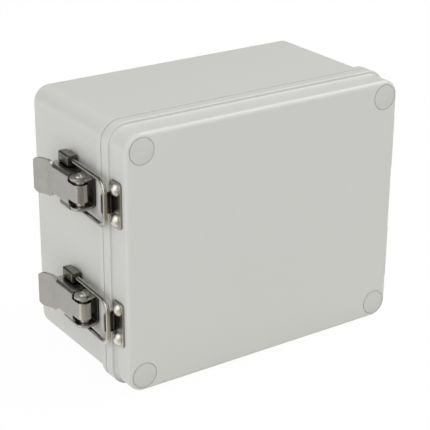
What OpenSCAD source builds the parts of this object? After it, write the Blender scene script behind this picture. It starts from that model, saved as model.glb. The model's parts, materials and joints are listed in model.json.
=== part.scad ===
// Hinged terminal box: plastic base and lid, two draw latches, two butt hinges,
// and a terminal strip on a rail inside.
// X runs to the right, Y to the wall behind the box, Z up.
// The origin is the centre of the back face.

/* [Enclosure] */
// Width over the side walls
box_w = 170; // [150:1:240]
// Height over the top and bottom walls
box_h = 140; // [130:1:200]
// Depth from the lid face to the back face
box_d = 95; // [88:1:140]
// Depth of the lid from its face to the seam
lid_d = 20.5; // [19.5:0.5:30]
// Thickness of the base walls, the back and the lid face
wall = 3; // [2.4:0.1:3.6]
// Radius of the four long corners
corner_r = 9; // [8:0.5:12]
// Radius of the edge round the lid face and round the back
edge_r = 2.4; // [1:0.1:3]
// How far the two rims stand out from the walls
rim_proud = 1.9; // [1.6:0.1:2.5]
// Width of the lid rim
lid_rim = 6.4; // [5.6:0.1:7]
// Width of the base rim
base_rim = 4.6; // [3:0.1:5.5]
// Radius of the outer edge of each rim
rim_edge_r = 0.7; // [0.3:0.1:1]
// Open line between the two rims
seam_gap = 0.4; // [0.2:0.1:0.6]

/* [Seal] */
// Height of the tongue that stands on the base mouth
tongue_h = 2.5; // [1.5:0.1:3]
// Thickness of the tongue
tongue_t = 1.4; // [1:0.1:1.8]
// Distance of the tongue from the outer wall face
tongue_inset = 1; // [0.8:0.1:1.4]
// Side room of the tongue towards the outside of the lid channel
tongue_room_out = 0.4; // [0.3:0.1:0.6]
// Side room of the tongue towards the inside of the lid channel
tongue_room_in = 0.6; // [0.6:0.1:0.9]
// Thickness of the rib inside the lid channel
rib_t = 1.2; // [0.8:0.1:2]
// Thickness of the gasket at the bottom of the channel
gasket_t = 2.2; // [1.5:0.1:2.6]
// Open height between the gasket and the tongue
gasket_gap = 0.3; // [0.2:0.05:0.5]
// Side room of the gasket in its channel
gasket_room = 0.1; // [0.05:0.05:0.2]

/* [Corner columns] */
// Distance of each column axis from the two outer wall faces
column_inset = 9; // [9:0.5:11]
// Radius of each column
column_r = 9; // [8.5:0.1:10]
// Radius of the wall screw hole in the back
wall_hole_r = 2.4; // [1.6:0.1:3]
// Radius of the screwdriver shaft above the wall screw hole
access_r = 4.6; // [4:0.1:5]
// Thickness left under the wall screw head
column_floor = 6; // [4:0.5:12]
// Radius of a corner plug
plug_r = 6.8; // [6.2:0.1:7.2]
// Ring groove between a plug and the lid
plug_groove = 0.3; // [0.2:0.05:0.5]
// Thickness of a plug head at its edge
plug_head_t = 2; // [1.5:0.1:3]
// Height of the dome on a plug head
plug_dome = 0.5; // [0.3:0.1:1]
// Radius of a plug stem
plug_stem_r = 4.6; // [3.5:0.1:5.2]
// Length of a plug stem
plug_stem_l = 5; // [3:0.5:7]
// Radius of the screw passage under a plug
passage_r = 2.3; // [1.5:0.1:2.8]

/* [Latch places] */
// Distance between the centre lines of the two latches
latch_pitch = 65; // [56:1:74]
// Radial room of pins in their holes
pin_room = 0.05; // [0.03:0.01:0.1]
// Radial room of rivets, inserts and screws in their holes
fit_room = 0.05; // [0.03:0.01:0.1]

/* [Keeper] */
// Sheet thickness of a keeper
keeper_t = 1; // [0.8:0.1:1.2]
// Length of a keeper plate along the depth
keeper_l = 9.7; // [9.5:0.1:10.6]
// Height of a keeper plate
keeper_h = 24.5; // [24.5:0.5:28]
// Distance of the lip from the lid rim
keeper_rim_gap = 0.2; // [0.1:0.1:0.4]
// Height of the lip that the bail hooks over
lip_h = 6.7; // [6:0.1:7]
// Width of the lip
lip_w = 11; // [8:0.5:11]
// Distance of the keeper rivets from the front edge of the plate
keeper_rivet_x = 5.2; // [4.8:0.1:5.3]
// Distance between the two keeper rivets
keeper_rivet_pitch = 16.4; // [16:0.1:17]
// Open gap between the lip and the bail
bail_gap = 0.45; // [0.4:0.05:0.6]

/* [Bracket] */
// Sheet thickness of a bracket
bracket_t = 1.4; // [1.2:0.1:1.6]
// Width of a bracket and of its lever
latch_w = 17; // [16:0.1:17.6]
// Distance from the base rim to the front of a bracket
bracket_rim_gap = 4.5; // [4:0.1:6]
// Length of a bracket plate along the depth
bracket_l = 31; // [30:0.5:36]
// Radius of the round end of the bracket ears
ear_r = 5; // [4.6:0.1:5]
// How far the round end of the ears stands in front of the bracket plate
ear_lean = 1.7; // [1:0.1:2.4]
// Height of the lever pivot above the wall
pivot_off = 7.1; // [6.8:0.1:7.6]
// Radius of the lever pin
lever_pin_r = 2.4; // [2:0.1:2.6]
// Radius of the domed heads of the lever pin
pin_head_r = 2.9; // [2.7:0.1:3.3]
// Height of the domed heads of the lever pin
pin_head_h = 1.6; // [0.8:0.1:1.7]

/* [Lever] */
// Sheet thickness of a lever
lever_t = 1.5; // [1:0.1:1.6]
// Width of the tongue that curls round the lever pin
curl_w = 9.4; // [8:0.1:11]
// Distance from the lever pin to the front of the side walls
lever_wall_x = 5.4; // [5.3:0.1:7]
// Distance from the lever pin to the bend of the thumb tip
tip_x = 26; // [25.5:0.5:28]
// Length of the thumb tip past the bend
tip_l = 8; // [7:0.5:11]
// Angle of the thumb tip
tip_angle = 24; // [10:1:35]
// Radius of the thumb tip bend
tip_bend_r = 5; // [3:0.5:8]
// How far the thumb tip stands out on each side
tip_wider = 1.2; // [0.2:0.1:1.4]
// Radius of the thumb tip corners
tip_corner_r = 4; // [3:0.5:5]
// Height of the lower edge of the side walls above the base wall
lever_wall_off = 2.4; // [2:0.1:3.4]
// Outer radius of the long bent edges
lever_edge_r = 2; // [1.6:0.1:2.4]

/* [Bail] */
// Radius of the bail wire
wire_r = 1.25; // [1:0.05:1.4]
// Distance between the centre lines of the two bail arms
bail_w = 24; // [23.5:0.5:25]
// Centre line radius of the bail corners
bail_corner_r = 6.2; // [5:0.1:6.4]
// Distance from the lever pin to the bail pin along the depth
bail_pin_x = 18.8; // [18:0.1:19.2]
// Height of the bail pin above the wall
bail_pin_off = 3.6; // [3.4:0.1:3.8]
// Radius of the bail pin
bail_pin_r = 1.3; // [1:0.1:1.3]
// How much further out the hooked end of the bail lies than its pin
bail_rise = 1.8; // [1.6:0.1:2]
// Length of a sleeve in front of the bail pin
sleeve_front = 5.5; // [4:0.5:6]
// Length of a sleeve behind the bail pin
sleeve_back = 5; // [4:0.5:6]
// Side room between the lever and the sleeves
sleeve_room = 0.2; // [0.15:0.05:0.4]
// Half thickness of a sleeve, out from the wire
sleeve_half = 2.7; // [2.4:0.1:3]
// Radius of the long edges of a sleeve
sleeve_edge_r = 1.1; // [0.6:0.1:1.2]

/* [Rivets] */
// Shank radius of the latch and hinge rivets
rivet_r = 1.6; // [1.2:0.1:1.8]
// Head radius of the keeper rivets
keeper_head_r = 3.8; // [3:0.1:3.8]
// Head height of the keeper rivets
keeper_head_h = 2.4; // [1.5:0.1:2.5]
// Head radius of the bracket and hinge rivets
rivet_head_r = 2.9; // [2.4:0.1:3.2]
// Head height of the bracket and hinge rivets
rivet_head_h = 1.5; // [1:0.1:1.7]
// Radius of the closed heads inside the walls
tail_r = 2.4; // [2.1:0.1:2.6]
// Height of the closed heads inside the walls
tail_h = 1.2; // [0.8:0.1:1.5]

/* [Hinges] */
// Distance between the centre lines of the two hinges
hinge_pitch = 65; // [54:1:76]
// Height of a hinge
hinge_h = 30; // [28:1:36]
// Sheet thickness of the hinge leaves
leaf_t = 1.5; // [1.2:0.1:1.6]
// Radius of the hinge knuckles
knuckle_r = 3; // [2.8:0.1:3.4]
// Distance from the rims to the hinge knuckles
knuckle_gap = 0.4; // [0.3:0.1:0.8]
// Distance from the rims to the cranks of the hinge leaves
leaf_rim_gap = 0.6; // [0.3:0.1:1]
// Radius of the hinge pins
hinge_pin_r = 1.45; // [1.1:0.05:1.6]
// Height of the middle knuckle, which belongs to the lid
mid_knuckle_h = 10; // [8:0.5:12]
// Room between knuckles along the pin
knuckle_room = 0.2; // [0.1:0.05:0.4]
// Length of the base leaf on the wall
base_leaf_l = 22; // [18:0.5:30]
// Distance between the two rivets of a leaf
leaf_rivet_pitch = 18; // [16:0.5:20]

/* [Mounting plate] */
// Room between the plate and the side walls
plate_room_x = 14; // [12:0.5:24]
// Room between the plate and the top and bottom walls
plate_room_z = 12; // [11:0.5:18]
// Thickness of the plate
plate_t = 1.6; // [1:0.1:3]
// Distance of the plate screws from the plate edges
plate_screw_inset = 8; // [6:0.5:12]
// Height of the bosses under the plate
boss_h = 6; // [5.4:0.1:10]
// Radius of the bosses
boss_r = 4.5; // [4:0.1:6]
// Outer radius of the brass inserts
insert_r = 2.8; // [2.4:0.1:3.2]
// Length of the brass inserts
insert_l = 5; // [4:0.1:5.2]
// Shank radius of the plate and rail screws
screw_r = 1.6; // [1.2:0.1:1.9]
// Head radius of the plate and rail screws
screw_head_r = 3.8; // [3.3:0.1:4.2]
// Head height of the plate and rail screws
screw_head_h = 2.4; // [1.8:0.1:3]

/* [Rail] */
// Length of the rail
rail_l = 120; // [100:1:128]
// Width over the rail lips
rail_w = 35; // [35:0.5:36]
// Depth of the rail
rail_d = 7.5; // [7:0.1:9]
// Sheet thickness of the rail
rail_t = 1; // [0.8:0.1:1.3]
// Width of the rail between the lips
rail_hat_w = 27; // [25:0.5:28]
// Distance between rail slots
slot_pitch = 25; // [24:1:28]
// Length of a rail slot
slot_l = 15; // [10:0.5:18]
// Width of a rail slot
slot_w = 5.2; // [4.2:0.1:6]

/* [Terminals] */
// Number of feed-through terminals
terminal_count = 8; // [4:1:9]
// Thickness of one terminal
terminal_w = 6; // [5.6:0.1:7]
// Gap between neighbours in the row
terminal_gap = 0.1; // [0.05:0.05:0.2]
// Height of a terminal from wire entry to wire entry
terminal_h = 42.5; // [41:0.5:46]
// Depth of a terminal in front of the rail lips
terminal_d = 36; // [34:0.5:42]
// Thickness of the closed side of a terminal
terminal_side = 1.2; // [0.9:0.1:1.4]
// Distance of the clamp screws from the terminal centre
clamp_z = 13; // [12:0.5:14]
// Radius of the screwdriver holes
driver_hole_r = 2.2; // [2:0.05:2.3]
// Radius of the wire entries
entry_r = 2; // [1.5:0.1:2.2]
// Thickness of the end plate
end_plate_t = 1.5; // [1:0.1:2.5]
// Thickness of an end stop
end_stop_w = 8; // [6:0.5:10]
// Depth of an end stop in front of the rail lips
end_stop_d = 24; // [20:0.5:30]

/* [Hidden] */
$fn = 64;

// A cut runs this far past the face that it opens
cut = 1;
// A straight run reaches this far into the bend that it joins
lap = 0.2;
base_d = box_d - lid_d;
column_x = box_w / 2 - column_inset;
column_z = box_h / 2 - column_inset;

// Seal: insets are measured inwards from the outer wall faces
channel_out = tongue_inset - tongue_room_out;
channel_in = tongue_inset + tongue_t + tongue_room_in;
lid_side = channel_in + rib_t;
channel_d = tongue_h + gasket_gap + gasket_t;

// Latch: depths are measured from the seam, towards the back
upper_z = latch_pitch / 2;
lower_z = -latch_pitch / 2;
keeper_x1 = -lid_rim - keeper_rim_gap;
keeper_x0 = keeper_x1 - keeper_l;
bail_run_x = keeper_x1 - keeper_t - bail_gap - wire_r;
bracket_x0 = base_rim + bracket_rim_gap;
pivot_x = bracket_x0 + ear_r - ear_lean;
bracket_x1 = bracket_x0 + bracket_l;
bail_x = pivot_x + bail_pin_x;
bail_reach = bail_x - bail_run_x;
bail_tilt = -asin(bail_rise / bail_reach);
curl_r = lever_pin_r + pin_room + lever_t;
lever_off = pivot_off + curl_r;
lever_x0 = pivot_x + lever_wall_x;
lever_x1 = pivot_x + tip_x;
bracket_rivet_x = [(pivot_x + bail_x) / 2, bracket_x1 - rivet_head_r - bracket_t / 2];
sleeve_z0 = latch_w / 2 + sleeve_room;
sleeve_z1 = bail_w / 2 + sleeve_half;
pin_seat = bail_w / 2 - wire_r - sleeve_room - sleeve_z0;
bail_eye_r = 2 * bail_pin_r;
bracket_bend_r = 1.6 * bracket_t;
plug_pocket_d = plug_head_t + plug_stem_l + cut;
lip_bend_r = 0.6 * keeper_t;
// Angle round the lever pin at which the curl of the lever ends
curl_end = 260;

// Hinge: depths are measured from the seam, towards the back
strap_off = rim_proud + knuckle_gap;
knuckle_off = strap_off + knuckle_r;
leaf_bend_r = (strap_off - leaf_t) / 2;
leaf_crank = 2 * leaf_bend_r + leaf_t;
base_leaf_y0 = base_rim + leaf_rim_gap;
base_leaf_y1 = base_leaf_y0 + base_leaf_l;
lid_leaf_y0 = lid_rim + leaf_rim_gap;
lid_leaf_y1 = lid_d - edge_r - leaf_rim_gap;
base_leaf_rivet_y = base_leaf_y1 - 2 * rivet_head_r;
lid_leaf_rivet_y = -(lid_leaf_y0 + leaf_crank + lid_leaf_y1) / 2;
knuckle_clear = knuckle_r + knuckle_gap;
hinge_head_r = 0.8 * knuckle_r;
hinge_head_h = hinge_pin_r / 2;

// Inside: depths are measured forwards from the back face
plate_half_x = box_w / 2 - wall - plate_room_x;
plate_half_z = box_h / 2 - wall - plate_room_z;
plate_screw_x = plate_half_x - plate_screw_inset;
plate_screw_z = plate_half_z - plate_screw_inset;
plate_back = wall + boss_h;
plate_front = plate_back + plate_t;
lips_front = plate_front + rail_d;
rail_screw_x = 2 * slot_pitch;
terminal_pitch = terminal_w + terminal_gap;
row_w = (terminal_count + 1) * terminal_pitch + end_plate_t + terminal_gap + 2 * (end_stop_w + terminal_gap);
row_x0 = -row_w / 2;
terminal_x0 = row_x0 + end_stop_w + terminal_gap;
end_plate_x = terminal_x0 + (terminal_count + 1) * terminal_pitch;
hook_room = 0.2;
hook_in = 2;
hook_t = 1.6;
clamp_screw_r = 1.4;
clamp_head_r = 2;
clamp_head_h = 2.2;
clamp_floor = 4;
clamp_top = 16;
bar_t = 1.6;
clamp_room = 0.15;
clamp_half_h = 4;
entry_floor = 1.2;
entry_d = clamp_floor + bar_t + entry_floor + entry_r;
// Outline of a terminal: shares of its depth, and steps in its height
wire_shoulder = 0.4;
wire_slope = 0.5;
screw_step = 0.8;
shoulder_in = 3;
crest_in = 2;
stop_head_r = 0.35 * end_stop_w;
terminal_mid = terminal_side + (terminal_w - terminal_side) / 2;

plastic_grey = [0.78, 0.78, 0.75];
stainless = [0.72, 0.72, 0.70];
zinc = [0.75, 0.76, 0.78];
brass = [0.80, 0.66, 0.36];
terminal_grey = [0.55, 0.57, 0.58];

// Frames

// x right, y up, z forwards from the back face
module from_back(d = 0) {
    rotate([90, 0, 0]) translate([0, 0, d]) children();
}

// x right, y down, z backwards from the lid face
module from_front(d = 0) {
    translate([0, d - box_d, 0]) rotate([-90, 0, 0]) children();
}

// x back from the seam, y out from the left wall, z up from the latch centre line
module on_left(z) {
    translate([-box_w / 2, -base_d, z]) rotate([0, 0, 90]) children();
}

// x out from the right wall, y back from the seam, z up from the hinge centre line
module on_right(z) {
    translate([box_w / 2, -base_d, z]) children();
}

module at_corners(x, y) {
    for (sx = [-1, 1], sy = [-1, 1]) translate([sx * x, sy * y, 0]) children();
}

// Flat shapes

module rounded_rect(w, h, r) {
    square([w - 2 * r, h], center = true);
    square([w, h - 2 * r], center = true);
    at_corners(w / 2 - r, h / 2 - r) circle(r);
}

// Half of a section through a block, with its outer corner at y = 0 rounded
module half_section(half, depth, r) {
    translate([0, r]) square([half, depth - r]);
    square([half - r, depth]);
    translate([half - r, r]) circle(r);
}

// Quarter or wider band round the origin, from angle a0 to a1, at most 170 degrees
module arc_band(r_in, t, a0, a1) {
    reach = 20 * (r_in + t);
    intersection() {
        difference() {
            circle(r_in + t);
            circle(r_in);
        }
        polygon([[0, 0], reach * [cos(a0), sin(a0)],
            2 * reach * [cos((a0 + a1) / 2), sin((a0 + a1) / 2)], reach * [cos(a1), sin(a1)]]);
    }
}

// Sheet bent to a U with its web on top at y = 0 and its legs down
module channel_section(w, depth, t, r) {
    difference() {
        union() {
            translate([-w / 2 + r, -depth]) square([w - 2 * r, depth]);
            translate([-w / 2, -depth]) square([w, depth - r]);
            for (s = [-1, 1]) translate([s * (w / 2 - r), -r]) circle(r);
        }
        translate([-w / 2 + t, -depth - cut]) square([w - 2 * t, depth + cut - r]);
        translate([-w / 2 + r, -depth - cut]) square([w - 2 * r, depth + cut - t]);
        for (s = [-1, 1]) translate([s * (w / 2 - r), -r]) circle(r - t);
    }
}

// Line of the seal at a given inset: the walls, turning inwards round each corner column
module seal_outline(inset) {
    difference() {
        rounded_rect(box_w - 2 * inset, box_h - 2 * inset, corner_r - inset);
        at_corners(column_x, column_z) circle(column_r - wall + inset);
    }
}

// Solid shapes

// Block with round long corners and a rounded edge round the end at z = 0
module block(w, h, depth, r, edge) {
    rotate([90, 0, 90]) linear_extrude(w - 2 * r, center = true) {
        half_section(h / 2, depth, edge);
        mirror([1, 0]) half_section(h / 2, depth, edge);
    }
    rotate([90, 0, 0]) linear_extrude(h - 2 * r, center = true) {
        half_section(w / 2, depth, edge);
        mirror([1, 0]) half_section(w / 2, depth, edge);
    }
    at_corners(w / 2 - r, h / 2 - r) rotate_extrude() half_section(r, depth, edge);
}

// Band that stands out from the walls, with its rounded edge at z = 0
module rim(width) {
    block(box_w + 2 * rim_proud, box_h + 2 * rim_proud, width, corner_r + rim_proud, rim_edge_r);
}

// Domed head that stands on z = 0
module dome(r, h) {
    ball_r = (r * r + h * h) / (2 * h);
    rotate_extrude() intersection() {
        translate([0, h - ball_r]) circle(ball_r);
        square([r, h]);
    }
}

// Rivet through a grip below z = 0, with a domed head above and a flat closed head below
module rivet(grip, head_r, head_h) {
    dome(head_r, head_h);
    translate([0, 0, -grip - tail_h]) cylinder(h = grip + tail_h, r = rivet_r);
    translate([0, 0, -grip - tail_h]) cylinder(h = tail_h, r = tail_r);
}

// Pan head screw with a straight slot, its head on z = 0
module slot_screw(shank_r, shank_l, head_r, head_h) {
    difference() {
        dome(head_r, head_h);
        translate([-head_r, -head_h / 6, head_h / 2]) cube([2 * head_r, head_h / 3, head_h]);
    }
    translate([0, 0, -shank_l]) cylinder(h = shank_l, r = shank_r);
}

// Plate cut from sheet and laid on z = 0, its outline given as a child
module sheet(t) {
    linear_extrude(t) children();
}

// Shape drawn in x and y and carried along z over a width
module across(w) {
    linear_extrude(w, center = true) children();
}

// Places of fasteners

module at_keeper_rivets() {
    for (z = [upper_z, lower_z], s = [-1, 1])
        on_left(z) translate([keeper_x0 + keeper_rivet_x, keeper_t, s * keeper_rivet_pitch / 2])
            rotate([-90, 0, 0]) children();
}

module at_bracket_rivets() {
    for (z = [upper_z, lower_z], x = bracket_rivet_x)
        on_left(z) translate([x, bracket_t, 0]) rotate([-90, 0, 0]) children();
}

module at_leaf_rivets(y) {
    for (z = [-1, 1] * hinge_pitch / 2, s = [-1, 1])
        on_right(z) translate([leaf_t, y, s * leaf_rivet_pitch / 2]) rotate([0, 90, 0]) children();
}

module rivet_hole(grip) {
    translate([0, 0, -grip - cut]) cylinder(h = grip + 2 * cut, r = rivet_r + fit_room);
}

// Base and what is fixed in it

module base_shell() color(plastic_grey) difference() {
    union() {
        difference() {
            union() {
                from_back() block(box_w, box_h, base_d, corner_r, edge_r);
                from_back(base_d - base_rim) rim(base_rim);
            }
            from_back(wall) linear_extrude(base_d) seal_outline(wall);
        }
        from_back(base_d) linear_extrude(tongue_h) difference() {
            seal_outline(tongue_inset);
            seal_outline(tongue_inset + tongue_t);
        }
        from_back(wall) at_corners(plate_screw_x, plate_screw_z) cylinder(h = boss_h, r = boss_r);
    }
    from_back() at_corners(column_x, column_z) {
        translate([0, 0, -cut]) cylinder(h = base_d, r = wall_hole_r);
        translate([0, 0, column_floor]) cylinder(h = base_d, r = access_r);
    }
    from_back(plate_back - insert_l) at_corners(plate_screw_x, plate_screw_z)
        cylinder(h = insert_l + cut, r = insert_r + fit_room);
    at_bracket_rivets() rivet_hole(bracket_t + wall);
    at_leaf_rivets(base_leaf_rivet_y) rivet_hole(leaf_t + wall);
}

module insert_nuts() color(brass) from_back(plate_back - insert_l)
    at_corners(plate_screw_x, plate_screw_z) difference() {
        cylinder(h = insert_l, r = insert_r);
        translate([0, 0, -cut]) cylinder(h = insert_l + 2 * cut, r = screw_r + fit_room);
    }

module mounting_plate() color(zinc) from_back(plate_back) difference() {
    sheet(plate_t) rounded_rect(2 * plate_half_x, 2 * plate_half_z, plate_screw_inset / 2);
    translate([0, 0, -cut]) {
        at_corners(plate_screw_x, plate_screw_z) cylinder(h = plate_t + 2 * cut, r = screw_r + fit_room);
        for (x = [-1, 1] * rail_screw_x) translate([x, 0, 0])
            cylinder(h = plate_t + 2 * cut, r = screw_r + fit_room);
    }
}

module plate_screws() color(zinc) from_back(plate_front) at_corners(plate_screw_x, plate_screw_z)
    slot_screw(screw_r, plate_t + insert_l - fit_room, screw_head_r, screw_head_h);

// Top-hat section: a web on the plate, two sides and two lips in front
module rail_section() {
    translate([-rail_hat_w / 2, 0]) square([rail_hat_w, rail_t]);
    for (s = [0, 1]) mirror([s, 0]) {
        translate([rail_hat_w / 2 - rail_t, 0]) square([rail_t, rail_d]);
        translate([rail_hat_w / 2 - rail_t, rail_d - rail_t])
            square([(rail_w - rail_hat_w) / 2 + rail_t, rail_t]);
    }
}

module rail_slot() {
    square([slot_l - slot_w, slot_w], center = true);
    for (s = [-1, 1]) translate([s * (slot_l - slot_w) / 2, 0]) circle(slot_w / 2);
}

module din_rail() color(zinc) from_back(plate_front) difference() {
    rotate([90, 0, 90]) linear_extrude(rail_l, center = true) rail_section();
    for (i = [-2:2]) translate([i * slot_pitch, 0, -cut])
        linear_extrude(rail_t + 2 * cut) rail_slot();
}

module rail_screws() color(zinc) from_back(plate_front + rail_t)
    for (x = [-1, 1] * rail_screw_x) translate([x, 0, 0])
        slot_screw(screw_r, rail_t + 2 * plate_t, screw_head_r, screw_head_h);

// Terminals: x is the place in the row, y up, z forwards from the rail lips

// Upper half of the outline: foot, hook behind the lip, wire shoulder, screw step and crest
function terminal_side_points(depth) = [
    [rail_w / 2 + hook_room, 0],
    [rail_w / 2 + hook_room, -rail_t - hook_room],
    [rail_w / 2 - hook_in, -rail_t - hook_room],
    [rail_w / 2 - hook_in / 2, -rail_t - hook_room - hook_t],
    [terminal_h / 2, -rail_t - hook_room - hook_t],
    [terminal_h / 2, wire_shoulder * depth],
    [terminal_h / 2 - shoulder_in, wire_slope * depth],
    [clamp_z + clamp_half_h, screw_step * depth],
    [clamp_z - clamp_half_h, screw_step * depth],
    [clamp_z - clamp_half_h - crest_in, depth]];

module terminal_outline(depth) {
    side = terminal_side_points(depth);
    last = len(side) - 1;
    polygon(concat(side, [for (i = [last:-1:0]) [-side[i].x, side[i].y]]));
}

module on_rail(x) {
    from_back(lips_front) translate([x, 0, 0]) children();
}

module terminal_slice(t, depth) {
    rotate([90, 0, 90]) linear_extrude(t) terminal_outline(depth);
}

// Housing with one open side, two screwdriver holes in front and two wire entries
module terminal_housing() {
    pocket_half = clamp_z + clamp_half_h + clamp_room;
    difference() {
        terminal_slice(terminal_w, terminal_d);
        translate([terminal_side, -pocket_half, clamp_floor])
            cube([terminal_w, 2 * pocket_half, clamp_top - clamp_floor + clamp_room]);
        for (s = [-1, 1]) {
            translate([terminal_mid, s * clamp_z, clamp_top]) cylinder(h = terminal_d, r = driver_hole_r);
            translate([terminal_mid, s * (pocket_half - cut), entry_d]) rotate([-s * 90, 0, 0])
                cylinder(h = terminal_h, r = entry_r);
        }
    }
}

// Current bar with a screw clamp at each end
module terminal_clamp() {
    clamp_w = terminal_w - terminal_side - 2 * clamp_room;
    clamp_end = clamp_z + clamp_half_h;
    translate([terminal_side + clamp_room, 0, clamp_floor]) difference() {
        union() {
            translate([0, -clamp_end, 0]) cube([clamp_w, 2 * clamp_end, bar_t]);
            for (s = [-1, 1]) translate([0, s * clamp_z - clamp_half_h, 0])
                cube([clamp_w, 2 * clamp_half_h, clamp_top - clamp_floor]);
        }
        for (s = [-1, 1]) {
            translate([clamp_w / 2, s * (clamp_z - clamp_half_h - cut), entry_d - clamp_floor])
                rotate([-s * 90, 0, 0]) cylinder(h = 2 * clamp_half_h + 2 * cut, r = entry_r);
            translate([clamp_w / 2, s * clamp_z, entry_d - clamp_floor])
                cylinder(h = terminal_d, r = clamp_screw_r + fit_room);
        }
    }
}

module terminal_blocks() color(terminal_grey)
    for (i = [0:terminal_count - 1]) on_rail(terminal_x0 + i * terminal_pitch) terminal_housing();

module earth_terminal() color("yellowgreen")
    on_rail(terminal_x0 + terminal_count * terminal_pitch) terminal_housing();

module terminal_clamps() color(brass)
    for (i = [0:terminal_count]) on_rail(terminal_x0 + i * terminal_pitch) terminal_clamp();

module terminal_screws() color(zinc)
    for (i = [0:terminal_count], s = [-1, 1])
        on_rail(terminal_x0 + i * terminal_pitch + terminal_mid) translate([0, s * clamp_z, clamp_top])
            slot_screw(clamp_screw_r, clamp_top - entry_d - entry_r / 2, clamp_head_r, clamp_head_h);

module terminal_end_plate() color(terminal_grey) on_rail(end_plate_x) terminal_slice(end_plate_t, terminal_d);

module at_end_stops() {
    on_rail(row_x0) children();
    on_rail(end_plate_x + end_plate_t + terminal_gap) children();
}

module end_stops() color(terminal_grey) at_end_stops() difference() {
    terminal_slice(end_stop_w, end_stop_d);
    translate([end_stop_w / 2, 0, -cut]) cylinder(h = end_stop_d + 2 * cut, r = screw_r + fit_room);
}

module end_stop_screws() color(zinc) at_end_stops() translate([end_stop_w / 2, 0, end_stop_d])
    slot_screw(screw_r, end_stop_d, stop_head_r, screw_head_h);

// Latch pieces, each drawn in the latch frame

// Shape drawn in x and z of the latch frame and carried out from the wall between two heights
module standing(off0, off1) {
    translate([0, off1, 0]) rotate([90, 0, 0]) linear_extrude(off1 - off0) children();
}

// Section drawn in z and y of the latch frame and carried along x
module along(x0, x1) {
    translate([x0, 0, 0]) rotate([0, 90, 0]) linear_extrude(x1 - x0) children();
}

// Side view of the lip: an upright strip with a round inner bend at its foot
module lip_side() {
    translate([keeper_x1 - keeper_t, 0]) square([keeper_t, lip_h]);
    difference() {
        translate([keeper_x1 - keeper_t - lip_bend_r, 0]) square([lip_bend_r, keeper_t + lip_bend_r]);
        translate([keeper_x1 - keeper_t - lip_bend_r, keeper_t + lip_bend_r]) circle(lip_bend_r);
    }
}

module keeper(z) color(stainless) difference() {
    on_left(z) {
        standing(0, keeper_t) translate([(keeper_x0 + keeper_x1) / 2, 0])
            rounded_rect(keeper_l, keeper_h, 2 * keeper_t);
        intersection() {
            across(lip_w) lip_side();
            along(keeper_x0, keeper_x1 + cut) rounded_rect(lip_w, 2 * lip_h, 2 * keeper_t);
        }
    }
    at_keeper_rivets() rivet_hole(keeper_t);
}

module keeper_rivets() color(stainless) at_keeper_rivets()
    rivet(keeper_t + lid_side, keeper_head_r, keeper_head_h);

// Side view of the bracket ears: a leaning front edge, a round end at the lever pin and an upright back edge
module ear_side() {
    reach = norm([pivot_x - bracket_x0, pivot_off]);
    front_angle = atan2(pivot_off, pivot_x - bracket_x0) + asin(ear_r / reach);
    front_l = sqrt(reach * reach - ear_r * ear_r);
    polygon([[bracket_x0, 0], [bracket_x0 + front_l * cos(front_angle), front_l * sin(front_angle)],
        [pivot_x, pivot_off], [pivot_x + ear_r, pivot_off], [pivot_x + ear_r, 0]]);
    translate([pivot_x, pivot_off]) circle(ear_r);
}

module latch_bracket(z) color(stainless) difference() {
    on_left(z) difference() {
        union() {
            intersection() {
                across(latch_w + cut) ear_side();
                along(pivot_x - ear_r - cut, bracket_x1) mirror([0, 1])
                    channel_section(latch_w, pivot_off + ear_r + cut, bracket_t, bracket_bend_r);
            }
            standing(0, bracket_t) translate([(bracket_x0 + bracket_x1) / 2, 0])
                rounded_rect(bracket_l, latch_w - 2 * bracket_bend_r, bracket_bend_r);
        }
        translate([pivot_x, pivot_off]) across(latch_w + cut) circle(lever_pin_r + fit_room);
    }
    at_bracket_rivets() rivet_hole(bracket_t);
}

module bracket_rivets() color(stainless) at_bracket_rivets()
    rivet(bracket_t + wall, rivet_head_r, rivet_head_h);

module lever_pins() color(stainless) for (z = [upper_z, lower_z]) on_left(z)
    translate([pivot_x, pivot_off]) {
        across(latch_w) circle(lever_pin_r);
        for (s = [0, 1]) mirror([0, 0, s]) translate([0, 0, latch_w / 2]) dome(pin_head_r, pin_head_h);
    }

// Side view of the lever sheet: curl round the pin, flat face and bent thumb tip
module lever_sheet_side() {
    translate([pivot_x, pivot_off]) {
        arc_band(curl_r - lever_t, lever_t, 90, 180);
        arc_band(curl_r - lever_t, lever_t, 180, curl_end);
    }
    translate([pivot_x, lever_off - lever_t]) square([tip_x, lever_t]);
    translate([lever_x1, lever_off + tip_bend_r]) {
        arc_band(tip_bend_r, lever_t, 270, 270 + tip_angle);
        rotate(tip_angle) translate([-lap, -tip_bend_r - lever_t]) square([tip_l + lap, lever_t]);
    }
}

// Side view of the lever walls, with an eye round the bail pin
module lever_wall_side() {
    polygon([[lever_x0, lever_off], [lever_x0, lever_wall_off + 2 * lever_t],
        [lever_x0 + 2 * lever_t, lever_wall_off], [lever_x1 - lever_t, lever_wall_off],
        [lever_x1, lever_wall_off + lever_t], [lever_x1, lever_off]]);
    translate([bail_x, bail_pin_off]) circle(bail_eye_r);
}

// Front view of the lever sheet: narrow tongue up to the walls, and the rounded tip, which flares out of
// the walls just in front of its bend
module lever_plan() {
    tip_w = latch_w + 2 * tip_wider;
    tip_end = lever_x1 + (tip_bend_r + lever_t) * sin(tip_angle) + tip_l * cos(tip_angle);
    tip_start = lever_x1 - tip_corner_r;
    translate([pivot_x - 2 * curl_r, -curl_w / 2]) square([2 * curl_r + lever_wall_x + cut, curl_w]);
    translate([(tip_start + tip_end) / 2, 0]) rounded_rect(tip_end - tip_start, tip_w, tip_corner_r);
}

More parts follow.
